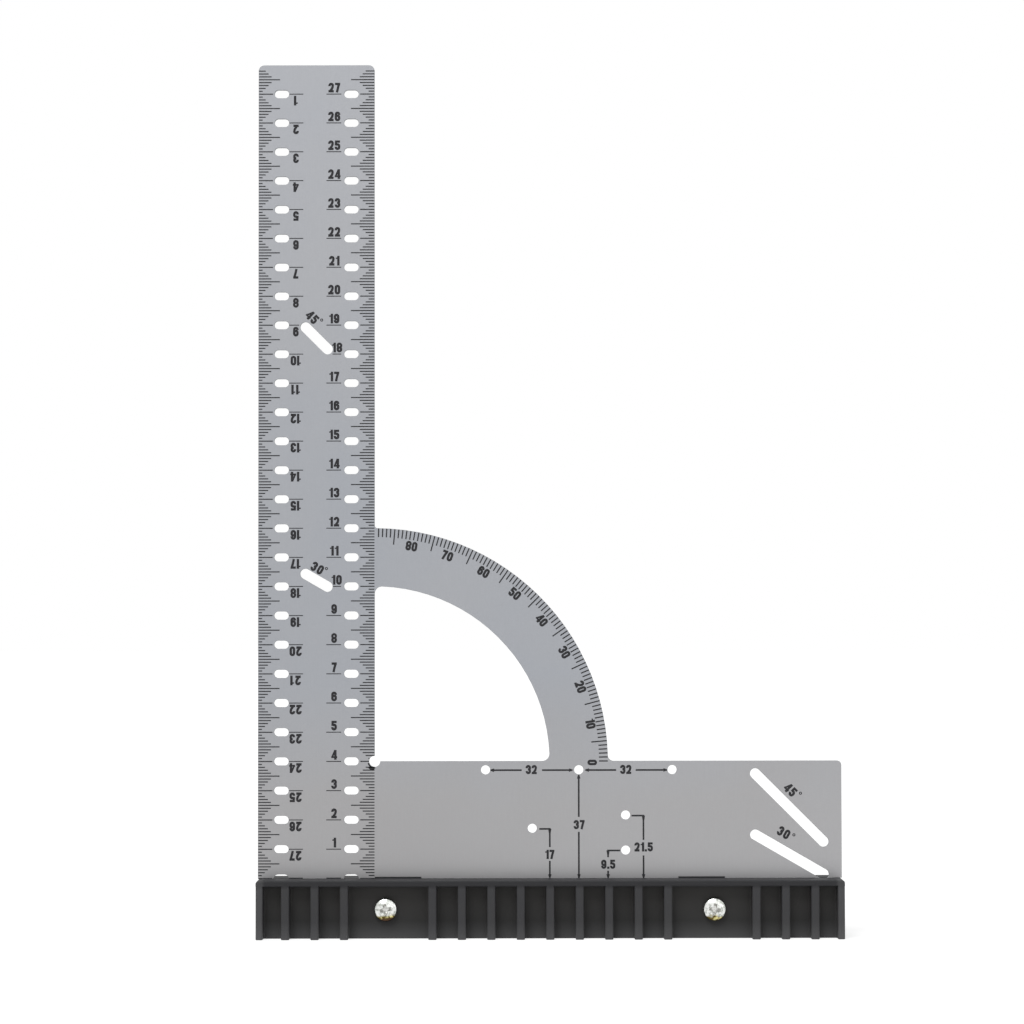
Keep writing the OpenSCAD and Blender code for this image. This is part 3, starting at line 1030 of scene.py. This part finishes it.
def dimension(start, end, gap, leader=None):
    """Line work of one dimension: a line between two points with a gap for its number, and an
    arrowhead at each end. A leader from a hole takes the first one's place, and its bend is thick."""
    start, end = Vector(start), Vector(end)
    way = (end - start).normalized()
    near, far = start + way * gap[0], start + way * gap[1]
    neck, last_neck = start + way * ARROW_L, end - way * ARROW_L
    if leader:
        bend = Vector((start.x, leader[1]))
        outlines = ribbon([leader, bend, near], DIM_STROKE)
        outlines.append(wedge(bend, bend + way * BEND_L, BEND_W, DIM_STROKE))
    else:
        outlines = ribbon([neck, near], DIM_STROKE)
        outlines.append(wedge(neck, start, ARROW_W, ARROW_TIP_W))
    outlines += ribbon([far, last_neck], DIM_STROKE)
    outlines.append(wedge(last_neck, end, ARROW_W, ARROW_TIP_W))
    return union(outlines)


# Height of the lines beside the top row of holes
ROW_LINE_Z = FACE_Z + 36.9


def make_dimensions():
    """The hole spacings and the holes' heights over the working face, in millimetres."""
    foot, row = FACE_Z, ROW_LINE_Z
    flats = [
        dimension((-20.35, row), (7.9, row), (10.75, 17.75)),
        dimension((12.2, row), (40.3, row), (10.6, 17.3)),
        dimension((9.95, row - 1.6), (9.95, foot), (14.4, 19.5)),
        dimension((0, 37.1), (0, foot), (6.5, 11.2), (-3.6, 36.8)),
        dimension((32.1, 41.6), (32.1, foot), (8.6, 13.9), (28.0, 41.3)),
        dimension((19.95, 29.7), (19.95, foot), (2.6, 7.2), (24.1, 29.4)),
    ]
    for text, x, z in (("32", -6.3, 57.1), ("32", 26.1, 57.1), ("37", 10.05, 38.25), ("17", -0.05, 28.1),
                       ("21.5", 32.15, 30.6), ("9.5", 20.0, 24.7)):
        flats += number(text, x, z, DIM_NUMERAL)
    printed("hole_dimensions", flats)


ANGLE_NUMERAL = 3.35
ANGLE_GAP = 0.13


def make_slot_angles():
    """The angle of each pencil slot, along its fall."""
    flats = []
    for text, x, z, fall in (("45", -81.5, 212.75, 45), ("°", -79.0, 211.0, 45), ("30", -79.7, 126.3, 30),
                             ("°", -77.1, 125.2, 30), ("45", 82.5, 50.05, 45), ("°", 85.2, 48.1, 45),
                             ("30", 80.15, 35.4, 30), ("°", 83.1, 33.7, 30)):
        flats += number(text, x, z, ANGLE_NUMERAL, -fall, ANGLE_GAP)
    printed("slot_angles", flats)


# The ticks that the relief hole cuts short: how far above the pivot each is, and where it
# starts and ends to the left of it
CUT_TICKS = ((0, WHOLE_TICK, 1.98), (1, 2.15, 1.82))
# The dark crescent's two bands: radius about the pivot, first and last angle, steps, and width
CRESCENT_BANDS = ((2.25, 195, 275, 10, 0.5), (2.6, 225, 268, 8, 1.2))


def make_relief_print():
    """Ticks that the relief hole cuts short, and a dark crescent of ink along the lower left of its rim."""
    x, z = PIVOT
    flats = []
    for above, start, end in CUT_TICKS:
        flats.append(union(ribbon([(x - start, z + above), (x - end, z + above)], TICK_STROKE)))
    crescent = []
    for radius, first, last, steps, width in CRESCENT_BANDS:
        crescent += ribbon(arc(x, z, radius, first, last, steps), width)
    flats.append(union(crescent))
    printed("relief_hole_ink", flats)


# The stage

# Half the floor's side, in metres
FLOOR_HALF_W = 6.0
SKY_LIGHT = 0.5
# Each lamp's name, strength, and in degrees its apparent size, tilt and turn
LAMPS = (("key", 2.2, 30, 35, -28), ("fill", 0.4, 80, 60, 42))


def make_stage():
    """White card to the horizon, a white sky and two broad soft lamps."""
    scene = bpy.context.scene
    shape = bmesh.new()
    corners = [(x * FLOOR_HALF_W, y * FLOOR_HALF_W, 0) for x, y in ((-1, -1), (1, -1), (1, 1), (-1, 1))]
    shape.faces.new([shape.verts.new(corner) for corner in corners])
    mesh = bpy.data.meshes.new("floor")
    shape.to_mesh(mesh)
    shape.free()
    mesh.materials.append(white_floor())
    floor_object = bpy.data.objects.new("floor", mesh)
    scene.collection.objects.link(floor_object)

    world = bpy.data.worlds.new("white_studio")
    world.use_nodes = True
    tree = world.node_tree
    tree.nodes.clear()
    seen = rays_of(tree, "Is Camera Ray", "Is Glossy Ray", "Is Transmission Ray")
    strength = add_node(tree, "ShaderNodeMapRange", {"Value": seen, "To Min": SKY_LIGHT, "To Max": 1.0})
    sky = add_node(tree, "ShaderNodeBackground", {"Color": (1, 1, 1, 1), "Strength": strength})
    add_node(tree, "ShaderNodeOutputWorld", {"Surface": sky})
    scene.world = world

    for name, energy, spread, tilt, turn in LAMPS:
        lamp = bpy.data.lights.new(name, "SUN")
        lamp.energy = energy
        lamp.angle = radians(spread)
        holder = bpy.data.objects.new(name, lamp)
        holder.rotation_euler = (radians(tilt), 0, radians(turn))
        scene.collection.objects.link(holder)


# The camera, fitted to the photograph: its place in millimetres, and its turns in degrees
CAMERA_AT = (-12.54, -1000, 114.01)
CAMERA_TURNS = (91.803, 0.094, 0.016)
LENS = 102.234
SENSOR_W = 36


def make_camera():
    """The photograph's view: square on to the blade from a metre away, low and looking up a little."""
    camera = bpy.data.cameras.new("camera")
    camera.lens = LENS
    camera.sensor_width = SENSOR_W
    camera.clip_start = 0.05
    camera.clip_end = 50
    holder = bpy.data.objects.new("camera", camera)
    holder.location = [place * MM for place in CAMERA_AT]
    holder.rotation_euler = [radians(turn) for turn in CAMERA_TURNS]
    bpy.context.scene.collection.objects.link(holder)
    bpy.context.scene.camera = holder
    bpy.context.scene.view_settings.view_transform = "Standard"


make_blade()
make_fence_half("front_fence", "front_fence_moulding")
make_fence_half("rear_fence", "rear_fence_moulding")
make_screw("screw_left", "left_pan_head_screw", radians(12))
make_screw("screw_right", "right_pan_head_screw", radians(-8))
make_nut("nut_left", "left_hexagon_nut")
make_nut("nut_right", "right_hexagon_nut")
make_tick_rows()
make_arm_numbers()
make_ring_numbers()
make_dimensions()
make_slot_angles()
make_relief_print()
make_stage()
make_camera()
